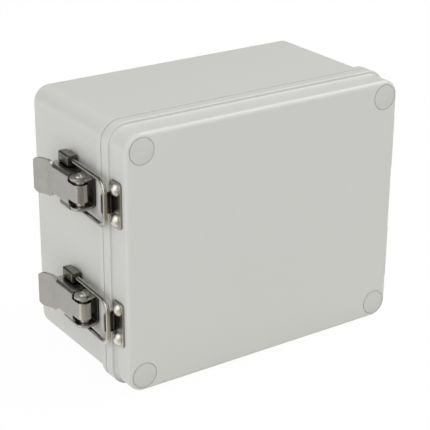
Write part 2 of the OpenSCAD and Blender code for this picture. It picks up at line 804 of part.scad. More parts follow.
module lever(z) color(stainless) on_left(z) difference() {
    union() {
        intersection() {
            across(2 * latch_w) lever_sheet_side();
            standing(0, 3 * lever_off) lever_plan();
        }
        intersection() {
            across(latch_w + cut) lever_wall_side();
            along(lever_x0, lever_x1) translate([0, lever_off])
                channel_section(latch_w, lever_off, lever_t, lever_edge_r);
        }
    }
    translate([bail_x, bail_pin_off]) across(latch_w + cut) circle(bail_pin_r + fit_room);
}

// Bail pieces: x back from the bail pin along the wire, z up from the latch centre line
module on_bail(z) {
    on_left(z) translate([bail_x, bail_pin_off, 0]) rotate([0, 0, bail_tilt]) children();
}

module bail_pin(z) color(stainless) on_bail(z)
    across(2 * (sleeve_z0 + pin_seat - fit_room)) circle(bail_pin_r);

module bail(z) color(stainless) on_bail(z) {
    arm_z = bail_w / 2;
    bend_x = bail_corner_r - bail_reach;
    bend_z = arm_z - bail_corner_r;
    translate([-bail_reach, 0, 0]) across(2 * bend_z) circle(wire_r);
    for (s = [-1, 1]) {
        translate([bend_x, 0, s * arm_z]) rotate([0, 90, 0]) cylinder(h = sleeve_back - bend_x, r = wire_r);
        translate([bend_x, 0, s * bend_z]) rotate([90, 0, 0]) rotate(s > 0 ? 90 : 180)
            rotate_extrude(angle = 90) translate([bail_corner_r, 0]) circle(wire_r);
    }
}

// Sheet folded to a block round a wire end, which turns on the bail pin
module bail_sleeves(z) color(stainless) on_bail(z) for (s = [0, 1]) mirror([0, 0, s]) difference() {
    along(-sleeve_front, sleeve_back) translate([-(sleeve_z0 + sleeve_z1) / 2, 0])
        rounded_rect(sleeve_z1 - sleeve_z0, 2 * sleeve_half, sleeve_edge_r);
    translate([-sleeve_front - cut, 0, bail_w / 2]) rotate([0, 90, 0])
        cylinder(h = sleeve_front + sleeve_back + 2 * cut, r = wire_r + fit_room);
    translate([0, 0, sleeve_z0 - cut]) cylinder(h = pin_seat + cut, r = bail_pin_r + pin_room);
}

// Lid and what is fixed in it

module lid_shell() color(plastic_grey) difference() {
    union() {
        from_front() block(box_w, box_h, lid_d - seam_gap, corner_r, edge_r);
        from_front(lid_d - lid_rim) rim(lid_rim - seam_gap);
    }
    from_front(wall) linear_extrude(lid_d) seal_outline(lid_side);
    from_front(lid_d - channel_d) linear_extrude(lid_d) difference() {
        seal_outline(channel_out);
        seal_outline(channel_in);
    }
    from_front() at_corners(column_x, column_z) {
        translate([0, 0, -cut]) cylinder(h = plug_head_t + cut, r = plug_r + plug_groove);
        cylinder(h = plug_pocket_d, r = plug_stem_r + fit_room);
        cylinder(h = lid_d + cut, r = passage_r);
    }
    at_keeper_rivets() rivet_hole(keeper_t + lid_side);
    at_leaf_rivets(lid_leaf_rivet_y) rivet_hole(leaf_t + lid_side);
}

module lid_gasket() color([0.12, 0.12, 0.13]) from_front(lid_d - channel_d) linear_extrude(gasket_t)
    difference() {
        seal_outline(channel_out + gasket_room);
        seal_outline(channel_in - gasket_room);
    }

module corner_plugs() color(plastic_grey) from_front() at_corners(column_x, column_z) {
    mirror([0, 0, 1]) dome(plug_r, plug_dome);
    cylinder(h = plug_head_t, r = plug_r);
    cylinder(h = plug_head_t + plug_stem_l, r = plug_stem_r);
}

// Hinges, drawn in the hinge frame

// Section of a leaf: knuckle, strap over the rim, crank down to the wall and plate on the wall
module leaf_side(y0, y1) {
    translate([knuckle_off, 0]) circle(knuckle_r);
    translate([strap_off, 0]) square([leaf_t, y0]);
    translate([strap_off - leaf_bend_r, y0]) arc_band(leaf_bend_r, leaf_t, 0, 90);
    translate([leaf_t + leaf_bend_r, y0 + leaf_crank]) arc_band(leaf_bend_r, leaf_t, 180, 270);
    translate([0, y0 + leaf_crank]) square([leaf_t, y1 - y0 - leaf_crank]);
}

module knuckle_cut(h, r) {
    translate([knuckle_off, 0]) across(h) circle(r);
}

module hinge_base_leaf(z) color(stainless) difference() {
    on_right(z) difference() {
        across(hinge_h) leaf_side(base_leaf_y0, base_leaf_y1);
        knuckle_cut(mid_knuckle_h + 2 * knuckle_room, knuckle_clear);
        knuckle_cut(hinge_h + cut, hinge_pin_r + pin_room);
    }
    at_leaf_rivets(base_leaf_rivet_y) rivet_hole(leaf_t);
}

module hinge_lid_leaf(z) color(stainless) difference() {
    on_right(z) difference() {
        across(hinge_h) mirror([0, 1]) leaf_side(lid_leaf_y0, lid_leaf_y1);
        for (s = [-1, 1]) translate([0, 0, s * (mid_knuckle_h + hinge_h) / 2])
            knuckle_cut(hinge_h, knuckle_clear);
        knuckle_cut(hinge_h + cut, hinge_pin_r + pin_room);
    }
    at_leaf_rivets(lid_leaf_rivet_y) rivet_hole(leaf_t);
}

module hinge_pins() color(stainless) for (z = [-1, 1] * hinge_pitch / 2) on_right(z)
    translate([knuckle_off, 0]) {
        across(hinge_h) circle(hinge_pin_r);
        for (s = [0, 1]) mirror([0, 0, s]) translate([0, 0, hinge_h / 2]) dome(hinge_head_r, hinge_head_h);
    }

module hinge_base_rivets() color(stainless) at_leaf_rivets(base_leaf_rivet_y)
    rivet(leaf_t + wall, rivet_head_r, rivet_head_h);

module hinge_lid_rivets() color(stainless) at_leaf_rivets(lid_leaf_rivet_y)
    rivet(leaf_t + lid_side, rivet_head_r, rivet_head_h);

base_shell();
insert_nuts();
mounting_plate();
plate_screws();
din_rail();
rail_screws();
terminal_blocks();
earth_terminal();
terminal_end_plate();
terminal_clamps();
terminal_screws();
end_stops();
end_stop_screws();
latch_bracket(upper_z);  // latch_bracket_upper
latch_bracket(lower_z);  // latch_bracket_lower
bracket_rivets();
lever_pins();
hinge_base_leaf(hinge_pitch / 2);  // hinge_base_leaf_upper
hinge_base_leaf(-hinge_pitch / 2);  // hinge_base_leaf_lower
hinge_pins();
hinge_base_rivets();
lid_shell();
lid_gasket();
corner_plugs();
keeper(upper_z);  // keeper_upper
keeper(lower_z);  // keeper_lower
keeper_rivets();
hinge_lid_leaf(hinge_pitch / 2);  // hinge_lid_leaf_upper
hinge_lid_leaf(-hinge_pitch / 2);  // hinge_lid_leaf_lower
hinge_lid_rivets();
lever(upper_z);  // lever_upper
bail_pin(upper_z);  // bail_pin_upper
bail(upper_z);  // bail_upper
bail_sleeves(upper_z);  // bail_sleeves_upper
lever(lower_z);  // lever_lower
bail_pin(lower_z);  // bail_pin_lower
bail(lower_z);  // bail_lower
bail_sleeves(lower_z);  // bail_sleeves_lower
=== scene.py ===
import json
import math

import bmesh
import bpy
import numpy as np
from bpy.props import FloatProperty, FloatVectorProperty, PointerProperty
from bpy.types import Operator, Panel, PropertyGroup
from mathutils import Matrix, Vector


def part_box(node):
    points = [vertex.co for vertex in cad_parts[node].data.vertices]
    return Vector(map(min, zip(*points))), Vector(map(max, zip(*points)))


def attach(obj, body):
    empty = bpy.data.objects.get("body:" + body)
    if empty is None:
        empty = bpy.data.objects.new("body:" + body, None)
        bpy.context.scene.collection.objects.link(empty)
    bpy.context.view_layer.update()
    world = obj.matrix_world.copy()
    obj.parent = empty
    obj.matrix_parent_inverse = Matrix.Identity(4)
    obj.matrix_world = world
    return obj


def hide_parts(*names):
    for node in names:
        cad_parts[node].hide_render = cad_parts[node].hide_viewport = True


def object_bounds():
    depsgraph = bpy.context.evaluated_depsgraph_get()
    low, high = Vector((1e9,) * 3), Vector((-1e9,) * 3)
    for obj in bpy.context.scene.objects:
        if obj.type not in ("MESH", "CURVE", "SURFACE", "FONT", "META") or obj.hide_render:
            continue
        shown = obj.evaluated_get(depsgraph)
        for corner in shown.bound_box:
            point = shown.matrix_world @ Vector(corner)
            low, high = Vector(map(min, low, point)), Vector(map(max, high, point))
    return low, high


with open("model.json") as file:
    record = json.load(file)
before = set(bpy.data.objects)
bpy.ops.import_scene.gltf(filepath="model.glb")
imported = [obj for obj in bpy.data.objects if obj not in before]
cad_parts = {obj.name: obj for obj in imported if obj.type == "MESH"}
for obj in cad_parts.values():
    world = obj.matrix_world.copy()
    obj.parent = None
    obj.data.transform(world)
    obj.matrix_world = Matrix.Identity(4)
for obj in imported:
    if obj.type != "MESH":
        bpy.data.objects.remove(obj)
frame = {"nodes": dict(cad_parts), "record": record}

bl_info = {
    "name": "Terminal box looks",
    "version": (1, 0, 0),
    "blender": (4, 5, 0),
    "location": "3D View > Sidebar > Terminal Box",
    "description": "Finishes, small pieces and a studio for a hinged terminal box with two draw latches",
    "category": "Object",
}

CAD_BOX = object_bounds()
MM = 0.001
WHITE = (1.0, 1.0, 1.0, 1.0)

# Signs of X and Z at the four corners of the box, in the order of a turn
CORNERS = ((1.0, 1.0), (-1.0, 1.0), (-1.0, -1.0), (1.0, -1.0))

# Points of a quarter circle, of a ring, of the round top of a bead and along a straight bead
ROUND_STEPS = 13
RING_STEPS = 96
TOP_STEPS = 11
STRAIGHT_STEPS = 25

# Depth of the fillet's corner in the plastic behind it, and the sharpest bend that is shaded as smooth
FILLET_LAP = 0.05 * MM
FILLET_CREASE = math.radians(40.0)

# Depth of a groove floor's foot in the plastic, in groove widths
GROOVE_FOOT = 2.0

# A gasket ring widens towards the corner of the box: the cosine of the angle from that corner where
# the widening starts, and the span of cosines that it takes
WIDEN_FROM = 0.2
WIDEN_OVER = 0.5

# Stretch of the brush lines along X, Y and Z: they run along the axis with the smallest value, and have
# no direction where the three are equal
LEVER_BRUSH = (1.0, 0.03, 1.0)
PRESSED_BRUSH = (1.0, 1.0, 0.05)
WIRE_BRUSH = (1.0, 0.08, 0.3)
SLEEVE_BRUSH = (1.0, 0.05, 1.0)
TURNED_BRUSH = (1.0, 1.0, 1.0)
HINGE_BRUSH = (1.0, 1.0, 0.03)
ZINC_BRUSH = (0.3, 0.3, 0.3)
BRASS_BRUSH = (1.0, 0.1, 1.0)

# How much finer the lines of pins and rivets are
TURNED_FINENESS = 2.0

# Gain of the crevice mask of painted shade, and what is then taken off it so that open faces stay
# unshaded
CREVICE_SHADE_GAIN = 2.2
CREVICE_SHADE_OFFSET = 0.45

# Swing of brushed metal's tone with its lines and smudges, and how much smoother its edges are
BRUSH_TONE = 0.16
EDGE_POLISH = 0.10

# Middle of a noise texture's values
NOISE_MIDDLE = 0.5

# Sockets of a Mix node that mixes colours: its factor and two colours, and its result
MIX_INPUTS = (0, 6, 7)
MIX_RESULT = 2

# Edges of the cards on the floor, by X for left and right and by Y for front and back, and their
# height over the floor
GREY_LEFT = -0.7
GREY_FRONT = -0.04
GREY_BACK = 0.7
CARDS_LEFT = -0.6
CARDS_RIGHT = 1.0
NEAR_BACK = -0.085
NEAR_FRONT = -0.16
FAR_FRONT = -1.5
CARD_LIFT = 1.0 * MM

# Width of the camera's sensor in millimetres, and the nearest distance that it sees in metres
SENSOR_WIDTH = 36.0
CLIP_START = 0.01

# Pieces that share a finish
SHELLS = ("base_shell", "lid_shell")
PLUGS = ("corner_plugs",)
LEVERS = ("lever_upper", "lever_lower")
BRACKETS = ("latch_bracket_upper", "latch_bracket_lower")
KEEPERS = ("keeper_upper", "keeper_lower")
LATCH_WIRES = ("bail_upper", "bail_lower")
LATCH_SLEEVES = ("bail_sleeves_upper", "bail_sleeves_lower")
TURNED_STEEL = ("lever_pins", "bail_pin_upper", "bail_pin_lower", "hinge_pins", "keeper_rivets",
                "bracket_rivets", "hinge_base_rivets", "hinge_lid_rivets")
HINGE_LEAVES = ("hinge_base_leaf_upper", "hinge_base_leaf_lower", "hinge_lid_leaf_upper",
                "hinge_lid_leaf_lower")
ZINC_PIECES = ("mounting_plate", "din_rail", "plate_screws", "rail_screws", "terminal_screws",
               "end_stop_screws")
BRASS_PIECES = ("insert_nuts", "terminal_clamps")
TERMINALS = ("terminal_blocks", "terminal_end_plate", "end_stops")


# Settings


def colour(name, description, value):
    """A colour setting."""
    return FloatVectorProperty(name=name, description=description, default=value, subtype="COLOR",
                               size=3, min=0.0, max=1.0)


def length(name, description, value):
    """A length setting in metres."""
    return FloatProperty(name=name, description=description, default=value, min=0.0, unit="LENGTH",
                         precision=5)


def share(name, description, value):
    """A setting from 0 to 1."""
    return FloatProperty(name=name, description=description, default=value, min=0.0, max=1.0,
                         subtype="FACTOR")


def power(name, description, value):
    """A lamp's power setting in watts."""
    return FloatProperty(name=name, description=description, default=value, min=0.0, unit="POWER")


def position(name, description, value):
    """A setting for a place in the scene."""
    return FloatVectorProperty(name=name, description=description, default=value, size=3,
                               subtype="TRANSLATION")


def angle(name, description, degrees):
    """An angle setting, given in degrees."""
    return FloatProperty(name=name, description=description, default=math.radians(degrees),
                         subtype="ANGLE")


class TERMINALBOX_PG_plastic(PropertyGroup):
    """Finish and small forms of the moulded shells."""
    shell: colour("Shell colour", "Colour of the base and lid", (0.574, 0.576, 0.55))
    plug: colour("Plug colour", "Colour of the corner plugs", (0.535, 0.537, 0.513))
    roughness: share("Roughness", "Roughness of the satin moulding", 0.36)
    grain: length("Grain size", "Size of the fine mould texture", 0.45 * MM)
    grain_depth: length("Grain depth", "Depth of the fine mould texture", 0.004 * MM)
    edge: length("Edge softness", "Radius over which sharp edges catch the light", 0.7 * MM)
    rim_proud: length("Rim height", "Height of the rim over the walls", 1.9 * MM)
    skirt: length("Skirt depth", "Depth of the lid in front of its rim", 14.1 * MM)
    corner: length("Corner radius", "Corner radius of the lid seen from the front", 9.0 * MM)
    root: length("Root fillet", "Radius of the fillet between the lid's skirt and rim", 1.1 * MM)
    plug_radius: length("Plug radius", "Radius of the corner plugs", 6.8 * MM)
    groove: length("Groove width", "Width of the groove round each plug", 0.3 * MM)
    groove_depth: length("Groove depth", "Depth of the groove round each plug", 0.18 * MM)
    groove_crown: length("Groove crown", "Height of the round floor of the groove", 0.08 * MM)


class TERMINALBOX_PG_steel(PropertyGroup):
    """Finish of the latches and hinges."""
    sheet: colour("Sheet colour", "Colour of the pressed stainless sheet", (0.58, 0.562, 0.525))
    bright: colour("Bright colour", "Colour of the drawn wire", (0.575, 0.56, 0.495))
    # Turned colour is lighter than the sheet: it paints light on pins and rivets
    turned: colour("Turned colour", "Lighter colour of pins and rivets, painted light", (0.87, 0.855, 0.785))
    # Keeper colour is a darker copy of the sheet: painted shade on the keepers
    keeper: colour("Keeper colour", "Darker colour of the keeper plates, painted shade", (0.56, 0.54, 0.49))
    # Dark shade and dark reflection painted along the sheet's edges
    painted_edge_shade: colour("Edge shade colour", "Dark colour painted on the sheet's edges as shade and dark reflection", (0.13, 0.125, 0.115))
    # A darker copy of the sheet: painted shade on the folded sleeves
    folded: colour("Sleeve colour", "Darker colour of the folded sleeves, painted shade", (0.27, 0.255, 0.228))
    # Shade painted near black into narrow gaps, over the reaches below
    crevice: colour("Crevice colour", "Colour of the shade painted in gaps", (0.02, 0.018, 0.015))
    crevice_shade_reach: length("Crevice reach", "Width of the gaps where shade is painted", 5.0 * MM)
    keeper_shade_reach: length("Keeper crevice reach", "Width of the painted shade under the wire", 6.5 * MM)
    head_shade_reach: length("Head crevice reach", "Width of the painted shade round small heads", 1.2 * MM)
    roughness: share("Sheet roughness", "Roughness of the pressed sheet", 0.30)
    wire_roughness: share("Wire roughness", "Roughness of the wire and of turned brass", 0.20)
    turned_roughness: share("Turned roughness", "Roughness of pins and rivets", 0.38)
    line: length("Line spacing", "Spacing of the brush lines", 0.35 * MM)
    line_depth: length("Line depth", "Depth of the brush lines", 0.006 * MM)
    edge: length("Edge softness", "Width of the rubbed edges that take the painted edge colour", 0.4 * MM)


class TERMINALBOX_PG_inside(PropertyGroup):
    """Finish of the pieces inside the box, and the form of the gasket."""
    zinc: colour("Zinc colour", "Colour of plated steel", (0.60, 0.62, 0.64))
    brass: colour("Brass colour", "Colour of clamps and inserts", (0.64, 0.45, 0.17))
    rubber: colour("Gasket colour", "Colour of the gasket", (0.022, 0.022, 0.024))
    rubber_roughness: share("Gasket roughness", "Roughness of the foamed rubber", 0.8)
    foam: length("Foam size", "Size of the foam texture of the gasket", 0.9 * MM)
    foam_depth: length("Foam depth", "Depth of the foam texture of the gasket", 0.04 * MM)
    seal_width: length("Gasket width", "Width of the gasket along the walls", 2.2 * MM)
    seal_crown: length("Gasket crown", "Height of the gasket's round top over its sides", 0.8 * MM)
    ring_bore: length("Ring bore", "Inner radius of the gasket round each screw column", 6.7 * MM)
    terminal: colour("Terminal colour", "Colour of the terminal housings", (0.27, 0.29, 0.30))
    earth: colour("Earth terminal colour", "Green of the earth terminal", (0.10, 0.36, 0.06))
    earth_band: colour("Earth band colour", "Yellow of the earth terminal", (0.72, 0.58, 0.03))
    band_foot: length("Earth band foot", "Distance from mid-height where the yellow starts", 6.0 * MM)
    band_top: length("Earth band top", "Distance from mid-height where the yellow ends", 14.0 * MM)


class TERMINALBOX_PG_studio(PropertyGroup):
    """Floor, light and camera."""
    floor: colour("Floor colour", "Colour of the floor", (0.86, 0.86, 0.86))
    floor_reach: length("Floor reach", "Distance of the floor's edges from its middle", 6.0)
    backdrop: share("Floor whiteness", "Share of plain white that is seen in the floor", 0.97)
    ambient: FloatProperty(name="Ambient light", default=0.61, min=0.0,
                           description="Strength of the even light from all round")
    room: colour("Room colour", "Colour of the dim room that metal reflects", (0.11, 0.11, 0.11))
    room_reach: length("Room reach", "Distance of walls and ceiling from the middle", 3.0)
    top_place: position("Top light place", "Place of the softbox on the right", (0.8, -0.2, 1.2))
    top_width: length("Top light width", "Width of the softbox high on the right", 1.15)
    top_power: power("Top light", "Power of the softbox high on the right", 11.3)
    key_place: position("Key light place", "Place of the softbox in front", (0.25, -1.1, 1.1))
    key_width: length("Key light width", "Width of the softbox above the front", 1.6)
    key_power: power("Key light", "Power of the softbox above the front", 3.8)
    side_place: position("Side light place", "Place of the softbox on the left", (-1.25, -0.35, 0.6))
    side_width: length("Side light width", "Width of the softbox at the latch side", 1.4)
    side_power: power("Side light", "Power of the softbox at the latch side", 7.9)
    card: colour("Grey card", "Card on the floor that the lever faces reflect", (0.65, 0.65, 0.65))
    near_card: colour("Near card", "Card on the floor beside the front corner", (0.52, 0.475, 0.41))
    front_card: colour("Front card", "Card that the wire and curls reflect", (0.27, 0.245, 0.21))
    eye: position("Camera place", "Where the camera stands", (-0.3958, -0.6227, 0.2898))
    azimuth: angle("Azimuth", "Turn of the view towards the right wall", 34.481)
    elevation: angle("Elevation", "Tilt of the view below the horizon", 22.990)
    roll: angle("Roll", "Turn of the camera about its own line of sight", 0.473)
    lens: FloatProperty(name="Lens", default=115.3, min=1.0, unit="CAMERA",
                        description="Focal length on a 36 mm sensor")


class TERMINALBOX_PG_settings(PropertyGroup):
    """All settings of the terminal box."""
    plastic: PointerProperty(type=TERMINALBOX_PG_plastic)
    steel: PointerProperty(type=TERMINALBOX_PG_steel)
    inside: PointerProperty(type=TERMINALBOX_PG_inside)
    studio: PointerProperty(type=TERMINALBOX_PG_studio)


# Node helpers


def add_node(tree, kind, values=None, **attributes):
    """A node of a kind, with its attributes set and constants put on its sockets."""
    node = tree.nodes.new(kind)
    for name, value in attributes.items():
        setattr(node, name, value)
    for socket, value in (values or {}).items():
        node.inputs[socket].default_value = value
    return node


def feed(tree, socket, value):
    """Gives an input socket its value: a link from another socket, or a constant."""
    if isinstance(value, bpy.types.NodeSocket):
        tree.links.new(value, socket)
    else:
        socket.default_value = value


def math_node(tree, operation, *values, clamp=False):
    """A Math node whose values are sockets or plain numbers. Returns its output socket."""
    node = add_node(tree, "ShaderNodeMath", operation=operation, use_clamp=clamp)
    for slot, value in enumerate(values):
        feed(tree, node.inputs[slot], value)
    return node.outputs[0]


def mix_colours(tree, mask, first, second):
    """A colour mix by a mask socket; first and second are sockets or colours. Returns the result."""
    node = add_node(tree, "ShaderNodeMix", data_type="RGBA")
    for slot, value in zip(MIX_INPUTS, (mask, first, second)):
        feed(tree, node.inputs[slot], value)
    return node.outputs[MIX_RESULT]


def noise_swing(tree, texture):
    """How far a noise texture's value is from its middle."""
    return math_node(tree, "SUBTRACT", texture.outputs["Fac"], NOISE_MIDDLE)


def shade_colour(tree, tint, swing):
    """A colour socket times 1 plus a swing. Returns the result."""
    level = math_node(tree, "ADD", swing, 1.0)
    shaded = add_node(tree, "ShaderNodeVectorMath", operation="SCALE")
    tree.links.new(tint, shaded.inputs[0])
    tree.links.new(level, shaded.inputs["Scale"])
    return shaded.outputs[0]


def rgba(value):
    """A colour setting with full alpha."""
    return (*value, 1.0)


# Node groups


def new_group(name, inputs, outputs):
    """An empty shader node group. Inputs are (name, socket type, default), outputs (name, type)."""
    group = bpy.data.node_groups.new(name, "ShaderNodeTree")
    for label, kind, default in inputs:
        socket = group.interface.new_socket(name=label, in_out="INPUT", socket_type=kind)
        if default is not None:
            socket.default_value = default
    for label, kind in outputs:
        group.interface.new_socket(name=label, in_out="OUTPUT", socket_type=kind)
    entry = group.nodes.new("NodeGroupInput")
    result = group.nodes.new("NodeGroupOutput")
    return group, entry, result


def edge_group():
    """Edge mask and rounded normal: the mask grows as the normal rounded over a radius turns away
    from the face's own normal."""
    group, entry, result = new_group(
        "Soft edge",
        [("Radius", "NodeSocketFloat", 0.0003), ("Gain", "NodeSocketFloat", 3.0)],
        [("Mask", "NodeSocketFloat"), ("Normal", "NodeSocketVector")])
    bevel = add_node(group, "ShaderNodeBevel", samples=6)
    group.links.new(entry.outputs["Radius"], bevel.inputs["Radius"])
    face = add_node(group, "ShaderNodeNewGeometry")
    turn = add_node(group, "ShaderNodeVectorMath", operation="DOT_PRODUCT")
    group.links.new(bevel.outputs["Normal"], turn.inputs[0])
    group.links.new(face.outputs["Normal"], turn.inputs[1])
    away = math_node(group, "SUBTRACT", 1.0, turn.outputs["Value"])
    mask = math_node(group, "MULTIPLY", away, entry.outputs["Gain"], clamp=True)
    group.links.new(mask, result.inputs["Mask"])
    group.links.new(bevel.outputs["Normal"], result.inputs["Normal"])
    return group


def crevice_shade_group():
    """Mask of painted shade in narrow gaps: it grows as the surface within reach shuts out more of the
    open space.
    """
    group, entry, result = new_group("Crevice shade", [("Reach", "NodeSocketFloat", 0.005)],
                                     [("Mask", "NodeSocketFloat")])
    near = add_node(group, "ShaderNodeAmbientOcclusion", samples=8)
    group.links.new(entry.outputs["Reach"], near.inputs["Distance"])
    shut = math_node(group, "SUBTRACT", 1.0, near.outputs["AO"])
    raised = math_node(group, "MULTIPLY", shut, CREVICE_SHADE_GAIN)
    mask = math_node(group, "SUBTRACT", raised, CREVICE_SHADE_OFFSET, clamp=True)
    group.links.new(mask, result.inputs["Mask"])
    return group


def moulded_group():
    """Moulded plastic: slow shade patches, a roughness that wanders and a fine even grain."""
    group, entry, result = new_group(
        "Moulded skin",
        [("Vector", "NodeSocketVector", None), ("Colour", "NodeSocketColor", (0.5, 0.5, 0.5, 1.0)),
         ("Patch", "NodeSocketFloat", 0.03), ("Grain Scale", "NodeSocketFloat", 2200.0),
         ("Roughness", "NodeSocketFloat", 0.45), ("Spread", "NodeSocketFloat", 0.06)],
        [("Colour", "NodeSocketColor"), ("Roughness", "NodeSocketFloat"),
         ("Height", "NodeSocketFloat")])
    patches = add_node(group, "ShaderNodeTexNoise", {"Scale": 22.0, "Detail": 3.0, "Roughness": 0.5})
    grain = add_node(group, "ShaderNodeTexNoise", {"Detail": 2.0, "Roughness": 0.6})
    haze = add_node(group, "ShaderNodeTexNoise", {"Scale": 90.0, "Detail": 4.0, "Roughness": 0.55})
    for texture in (patches, grain, haze):
        group.links.new(entry.outputs["Vector"], texture.inputs["Vector"])
    group.links.new(entry.outputs["Grain Scale"], grain.inputs["Scale"])
    swing = math_node(group, "MULTIPLY", noise_swing(group, patches), entry.outputs["Patch"])
    shaded = shade_colour(group, entry.outputs["Colour"], swing)
    spread = math_node(group, "MULTIPLY", noise_swing(group, haze), entry.outputs["Spread"])
    rough = math_node(group, "ADD", entry.outputs["Roughness"], spread, clamp=True)
    group.links.new(shaded, result.inputs["Colour"])
    group.links.new(rough, result.inputs["Roughness"])
    group.links.new(grain.outputs["Fac"], result.inputs["Height"])
    return group


def brushed_group():
    """Brushed metal: fine lines from noise on a stretched vector, with slow smudges over them and edges
    painted in an edge colour.
    """
    group, entry, result = new_group(
        "Brushed metal",
        [("Vector", "NodeSocketVector", None), ("Stretched", "NodeSocketVector", None),
         ("Colour", "NodeSocketColor", (0.6, 0.6, 0.6, 1.0)),
         ("Painted Edge Colour", "NodeSocketColor", (0.7, 0.7, 0.7, 1.0)), ("Edge", "NodeSocketFloat", 0.0),
         ("Roughness", "NodeSocketFloat", 0.3), ("Spread", "NodeSocketFloat", 0.14)],
        [("Colour", "NodeSocketColor"), ("Roughness", "NodeSocketFloat"),
         ("Height", "NodeSocketFloat")])
    lines = add_node(group, "ShaderNodeTexNoise", {"Scale": 1.0, "Detail": 3.0, "Roughness": 0.65})
    smudge = add_node(group, "ShaderNodeTexNoise", {"Scale": 160.0, "Detail": 4.0, "Roughness": 0.6})
    group.links.new(entry.outputs["Stretched"], lines.inputs["Vector"])
    group.links.new(entry.outputs["Vector"], smudge.inputs["Vector"])
    both = math_node(group, "ADD", noise_swing(group, lines), noise_swing(group, smudge))
    tone = math_node(group, "MULTIPLY", both, BRUSH_TONE)
    shaded = shade_colour(group, entry.outputs["Colour"], tone)
    # Painted edge tone: dark shade on levers, brackets and hinges, the plain sheet tone on keepers and
    # sleeves
    edge_painted = mix_colours(group, entry.outputs["Edge"], shaded, entry.outputs["Painted Edge Colour"])
    spread = math_node(group, "MULTIPLY", both, entry.outputs["Spread"])
    rough = math_node(group, "ADD", entry.outputs["Roughness"], spread)
    polish = math_node(group, "MULTIPLY", entry.outputs["Edge"], EDGE_POLISH)
    smooth = math_node(group, "SUBTRACT", rough, polish, clamp=True)
    group.links.new(edge_painted, result.inputs["Colour"])
    group.links.new(smooth, result.inputs["Roughness"])
    group.links.new(lines.outputs["Fac"], result.inputs["Height"])
    return group


GROUP_MAKERS = {"Soft edge": edge_group, "Crevice shade": crevice_shade_group, "Moulded skin": moulded_group,
                "Brushed metal": brushed_group}


def place_group(tree, name, values=None):
    """The named group in a tree, built the first time that it is asked for."""
    group = bpy.data.node_groups.get(name) or GROUP_MAKERS[name]()
    return add_node(tree, "ShaderNodeGroup", values, node_tree=group)


# Materials


def empty_material(name):
    """A material with only its output. Returns it with its node tree and its surface socket."""
    material = bpy.data.materials.new(name)
    material.use_nodes = True
    tree = material.node_tree
    tree.nodes.clear()
    output = add_node(tree, "ShaderNodeOutputMaterial")
    return material, tree, output.inputs["Surface"]


def new_material(name):
    """A material with a Principled shader wired to its output, and Object coordinates."""
    material, tree, surface = empty_material(name)
    shader = add_node(tree, "ShaderNodeBsdfPrincipled")
    place = add_node(tree, "ShaderNodeTexCoord")
    tree.links.new(shader.outputs["BSDF"], surface)
    return material, tree, shader, place.outputs["Object"]


def raise_surface(tree, shader, height, normal, depth):
    """Bump from a height socket over a normal socket, by a depth in metres."""
    bump = add_node(tree, "ShaderNodeBump", {"Strength": 1.0, "Distance": depth})
    tree.links.new(height, bump.inputs["Height"])
    tree.links.new(normal, bump.inputs["Normal"])
    tree.links.new(bump.outputs["Normal"], shader.inputs["Normal"])


def add_skin(tree, shader, place, roughness, grain, depth, edge):
    """Moulded skin on a shader, with a grain over softened edges. Returns its colour input."""
    skin = place_group(tree, "Moulded skin", {"Grain Scale": 1.0 / grain, "Roughness": roughness})
    soft = place_group(tree, "Soft edge", {"Radius": edge})
    tree.links.new(place, skin.inputs["Vector"])
    tree.links.new(skin.outputs["Colour"], shader.inputs["Base Color"])
    tree.links.new(skin.outputs["Roughness"], shader.inputs["Roughness"])
    raise_surface(tree, shader, skin.outputs["Height"], soft.outputs["Normal"], depth)
    return skin.inputs["Colour"]


def plastic_material(name, tint, roughness, grain, depth, edge):
    """Satin moulded plastic of a tint, with a fine grain and softened edges."""
    material, tree, shader, place = new_material(name)
    skin_colour = add_skin(tree, shader, place, roughness, grain, depth, edge)
    skin_colour.default_value = rgba(tint)
    return material


def earth_material(name, inside, plastic):
    """Terminal plastic in two colours: yellow bands across the green, by distance from mid-height."""
    material, tree, shader, place = new_material(name)
    axes = add_node(tree, "ShaderNodeSeparateXYZ")
    tree.links.new(place, axes.inputs["Vector"])
    height = math_node(tree, "ABSOLUTE", axes.outputs["Z"])
    under_top = math_node(tree, "LESS_THAN", height, inside.band_top)
    over_foot = math_node(tree, "GREATER_THAN", height, inside.band_foot)
    band = math_node(tree, "MULTIPLY", under_top, over_foot)
    two_tone = mix_colours(tree, band, rgba(inside.earth), rgba(inside.earth_band))
    skin_colour = add_skin(tree, shader, place, plastic.roughness, plastic.grain, plastic.grain_depth,
                           plastic.edge)
    tree.links.new(two_tone, skin_colour)
    return material


